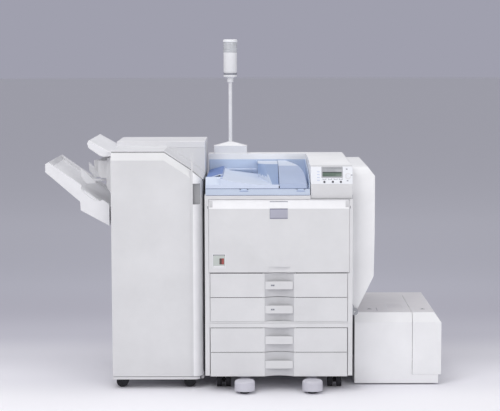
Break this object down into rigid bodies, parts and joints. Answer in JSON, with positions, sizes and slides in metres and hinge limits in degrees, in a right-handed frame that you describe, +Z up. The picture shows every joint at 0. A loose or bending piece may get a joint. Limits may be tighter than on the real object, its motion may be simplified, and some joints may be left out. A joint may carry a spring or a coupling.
{
  "type": "laser printer",
  "caption": "Floor-standing laser printer on a paper bank, with duplex unit, large side feeder, finisher with slanted tray, control panel and attention light.",
  "frame": {"origin": "middle of the whole row of machines, on the floor", "axes": "+X to the right along the row, +Y from the front to the back, +Z up"},
  "size_m": [1.579, 0.728, 1.387],
  "materials": {
    "casing": "fine satin texture",
    "casing_edge": "smooth satin",
    "tray_blue": "fine satin texture",
    "inner_grey": "matt",
    "steel": "zinc grey",
    "black": "matt",
    "key_dark": "satin",
    "screen": "gloss",
    "box_grey": "satin",
    "drum_green": "gloss",
    "caster": "matt",
    "foot_grey": "satin",
    "lens": "clear ribbed"
  },
  "bodies": {
    "printer": {"engine_frame": "steel", "left_cover": "casing", "rear_cover": "casing", "power_inlet": "black", "front_frame": "casing", "inner_cover": "inner_grey", "laser_unit": "black", "fuser_unit": "inner_grey", "top_cover": "casing", "output_tray": "tray_blue", "bridge_unit": "tray_blue", "control_panel": "casing", "display": "screen", "tower_base": "casing_edge", "tower_pole": "casing_edge", "tower_light": "casing_edge", "tower_lens": "lens", "bank_frame": "casing", "stabilizers": "foot_grey", "leveling_feet": "black", "caster_forks": "black", "finisher_frame": "casing", "finisher_top_cover": "casing", "proof_tray": "casing_edge"},
    "front_door": {"front_door": "casing"},
    "tray_1": {"tray_1_front": "casing", "tray_1_box": "box_grey"},
    "tray_2": {"tray_2_front": "casing", "tray_2_box": "box_grey"},
    "tray_3": {"tray_3_front": "casing", "tray_3_box": "box_grey"},
    "tray_4": {"tray_4_front": "casing", "tray_4_box": "box_grey"},
    "toner_bottle": {"toner_bottle": "inner_grey"},
    "drum": {"drum": "drum_green"},
    "bridge_cover": {"bridge_cover": "tray_blue"},
    "exit_cover": {"exit_cover": "tray_blue"},
    "key_left": {"key_left": "key_dark"},
    "key_middle": {"key_middle": "key_dark"},
    "key_right": {"key_right": "key_dark"},
    "cursor_key": {"cursor_key": "casing_edge"},
    "duplex_unit": {"duplex_unit": "casing"},
    "bypass_tray": {"bypass_tray": "casing"},
    "side_feeder": {"lct_case": "casing"},
    "side_feeder_cover": {"lct_cover": "casing"},
    "side_feeder_plate": {"lct_plate": "steel"},
    "finisher_door": {"finisher_door": "casing"},
    "shift_tray": {"shift_tray": "casing_edge"},
    "jogger_fin_front": {"jogger_fin_front": "casing_edge"},
    "jogger_fin_rear": {"jogger_fin_rear": "casing_edge"},
    "swivel_fork_left": {"swivel_fork_left": "black"},
    "front_wheel_left": {"front_wheel_left": "caster"},
    "rear_wheel_left": {"rear_wheel_left": "caster"},
    "swivel_fork_right": {"swivel_fork_right": "black"},
    "front_wheel_right": {"front_wheel_right": "caster"},
    "rear_wheel_right": {"rear_wheel_right": "caster"},
    "finisher_wheel_1": {"finisher_wheel_1": "caster"},
    "finisher_wheel_2": {"finisher_wheel_2": "caster"},
    "finisher_wheel_3": {"finisher_wheel_3": "caster"},
    "finisher_wheel_4": {"finisher_wheel_4": "caster"}
  },
  "joints": [
    {"name": "front_door_hinge", "type": "hinge", "parent": "printer", "child": "front_door", "pos_m": [0.1345, -0.296, 0.485], "axis": [1, 0, 0], "range_deg": [0, 90]},
    {"name": "tray_1_slide", "type": "slide", "parent": "printer", "child": "tray_1", "axis": [0, -1, 0], "range_m": [0, 0.4]},
    {"name": "tray_2_slide", "type": "slide", "parent": "printer", "child": "tray_2", "axis": [0, -1, 0], "range_m": [0, 0.4]},
    {"name": "tray_3_slide", "type": "slide", "parent": "printer", "child": "tray_3", "axis": [0, -1, 0], "range_m": [0, 0.4]},
    {"name": "tray_4_slide", "type": "slide", "parent": "printer", "child": "tray_4", "axis": [0, -1, 0], "range_m": [0, 0.4]},
    {"name": "toner_bottle_turn", "type": "hinge", "parent": "printer", "child": "toner_bottle", "pos_m": [0.0145, -0.264, 0.63], "axis": [0, 1, 0], "continuous": true},
    {"name": "drum_turn", "type": "hinge", "parent": "printer", "child": "drum", "pos_m": [0.2295, -0.264, 0.565], "axis": [0, 1, 0], "continuous": true},
    {"name": "bridge_cover_hinge", "type": "hinge", "parent": "printer", "child": "bridge_cover", "pos_m": [-0.0055, 0.236, 0.871], "axis": [-1, 0, 0], "range_deg": [0, 60]},
    {"name": "exit_cover_hinge", "type": "hinge", "parent": "printer", "child": "exit_cover", "pos_m": [0.1895, 0.236, 0.871], "axis": [-1, 0, 0], "range_deg": [0, 60]},
    {"name": "key_left_press", "type": "slide", "parent": "printer", "child": "key_left", "axis": [0, 0.9843, -0.1763], "range_m": [0, 0.001], "stiffness_N_per_m": 500, "springref_m": -0.0006},
    {"name": "key_middle_press", "type": "slide", "parent": "printer", "child": "key_middle", "axis": [0, 0.9843, -0.1763], "range_m": [0, 0.001], "stiffness_N_per_m": 500, "springref_m": -0.0006},
    {"name": "key_right_press", "type": "slide", "parent": "printer", "child": "key_right", "axis": [0, 0.9843, -0.1763], "range_m": [0, 0.001], "stiffness_N_per_m": 500, "springref_m": -0.0006},
    {"name": "cursor_key_press", "type": "slide", "parent": "printer", "child": "cursor_key", "axis": [0, 0.9843, -0.1763], "range_m": [0, 0.001], "stiffness_N_per_m": 500, "springref_m": -0.0006},
    {"name": "duplex_unit_hinge", "type": "hinge", "parent": "printer", "child": "duplex_unit", "pos_m": [0.4355, 0.033, 0.312], "axis": [0, 1, 0], "range_deg": [0, 30]},
    {"name": "bypass_tray_hinge", "type": "hinge", "parent": "duplex_unit", "child": "bypass_tray", "pos_m": [0.508, 0.033, 0.458], "axis": [0, 1, 0], "range_deg": [0, 70]},
    {"name": "side_feeder_undock", "type": "slide", "parent": "printer", "child": "side_feeder", "axis": [1, 0, 0], "range_m": [0, 0.15]},
    {"name": "side_feeder_cover_hinge", "type": "hinge", "parent": "side_feeder", "child": "side_feeder_cover", "pos_m": [0.7835, 0.056, 0.045], "axis": [0, 1, 0], "range_deg": [0, 80]},
    {"name": "side_feeder_plate_lift", "type": "slide", "parent": "side_feeder", "child": "side_feeder_plate", "axis": [0, 0, 1], "range_m": [0, 0.18]},
    {"name": "finisher_door_hinge", "type": "hinge", "parent": "printer", "child": "finisher_door", "pos_m": [-0.5215, -0.229, 0.5], "axis": [0, 0, -1], "range_deg": [0, 100]},
    {"name": "shift_tray_lift", "type": "slide", "parent": "printer", "child": "shift_tray", "axis": [0, 0, 1], "range_m": [-0.42, 0]},
    {"name": "jogger_front_slide", "type": "slide", "parent": "printer", "child": "jogger_fin_front", "axis": [0, 1, 0], "range_m": [-0.015, 0.02]},
    {"name": "jogger_rear_slide", "type": "slide", "parent": "printer", "child": "jogger_fin_rear", "axis": [0, 1, 0], "range_m": [-0.02, 0.015]},
    {"name": "caster_swivel_left", "type": "hinge", "parent": "printer", "child": "swivel_fork_left", "pos_m": [-0.0845, -0.212, 0.04], "axis": [0, 0, 1], "continuous": true},
    {"name": "front_wheel_left_roll", "type": "hinge", "parent": "swivel_fork_left", "child": "front_wheel_left", "pos_m": [-0.0845, -0.198, 0.028], "axis": [1, 0, 0], "continuous": true},
    {"name": "rear_wheel_left_roll", "type": "hinge", "parent": "printer", "child": "rear_wheel_left", "pos_m": [-0.0845, 0.256, 0.028], "axis": [1, 0, 0], "continuous": true},
    {"name": "caster_swivel_right", "type": "hinge", "parent": "printer", "child": "swivel_fork_right", "pos_m": [0.3585, -0.212, 0.04], "axis": [0, 0, 1], "continuous": true},
    {"name": "front_wheel_right_roll", "type": "hinge", "parent": "swivel_fork_right", "child": "front_wheel_right", "pos_m": [0.3585, -0.198, 0.028], "axis": [1, 0, 0], "continuous": true},
    {"name": "rear_wheel_right_roll", "type": "hinge", "parent": "printer", "child": "rear_wheel_right", "pos_m": [0.3585, 0.256, 0.028], "axis": [1, 0, 0], "continuous": true},
    {"name": "finisher_wheel_1_roll", "type": "hinge", "parent": "printer", "child": "finisher_wheel_1", "pos_m": [-0.4905, -0.192, 0.024], "axis": [0, 1, 0], "continuous": true},
    {"name": "finisher_wheel_2_roll", "type": "hinge", "parent": "printer", "child": "finisher_wheel_2", "pos_m": [-0.4905, 0.306, 0.024], "axis": [0, 1, 0], "continuous": true},
    {"name": "finisher_wheel_3_roll", "type": "hinge", "parent": "printer", "child": "finisher_wheel_3", "pos_m": [-0.2205, -0.192, 0.024], "axis": [0, 1, 0], "continuous": true},
    {"name": "finisher_wheel_4_roll", "type": "hinge", "parent": "printer", "child": "finisher_wheel_4", "pos_m": [-0.2205, 0.306, 0.024], "axis": [0, 1, 0], "continuous": true}
  ],
  "couplings": [
    {"joint": "jogger_rear_slide", "follows": "jogger_front_slide", "ratio": -1}
  ]
}
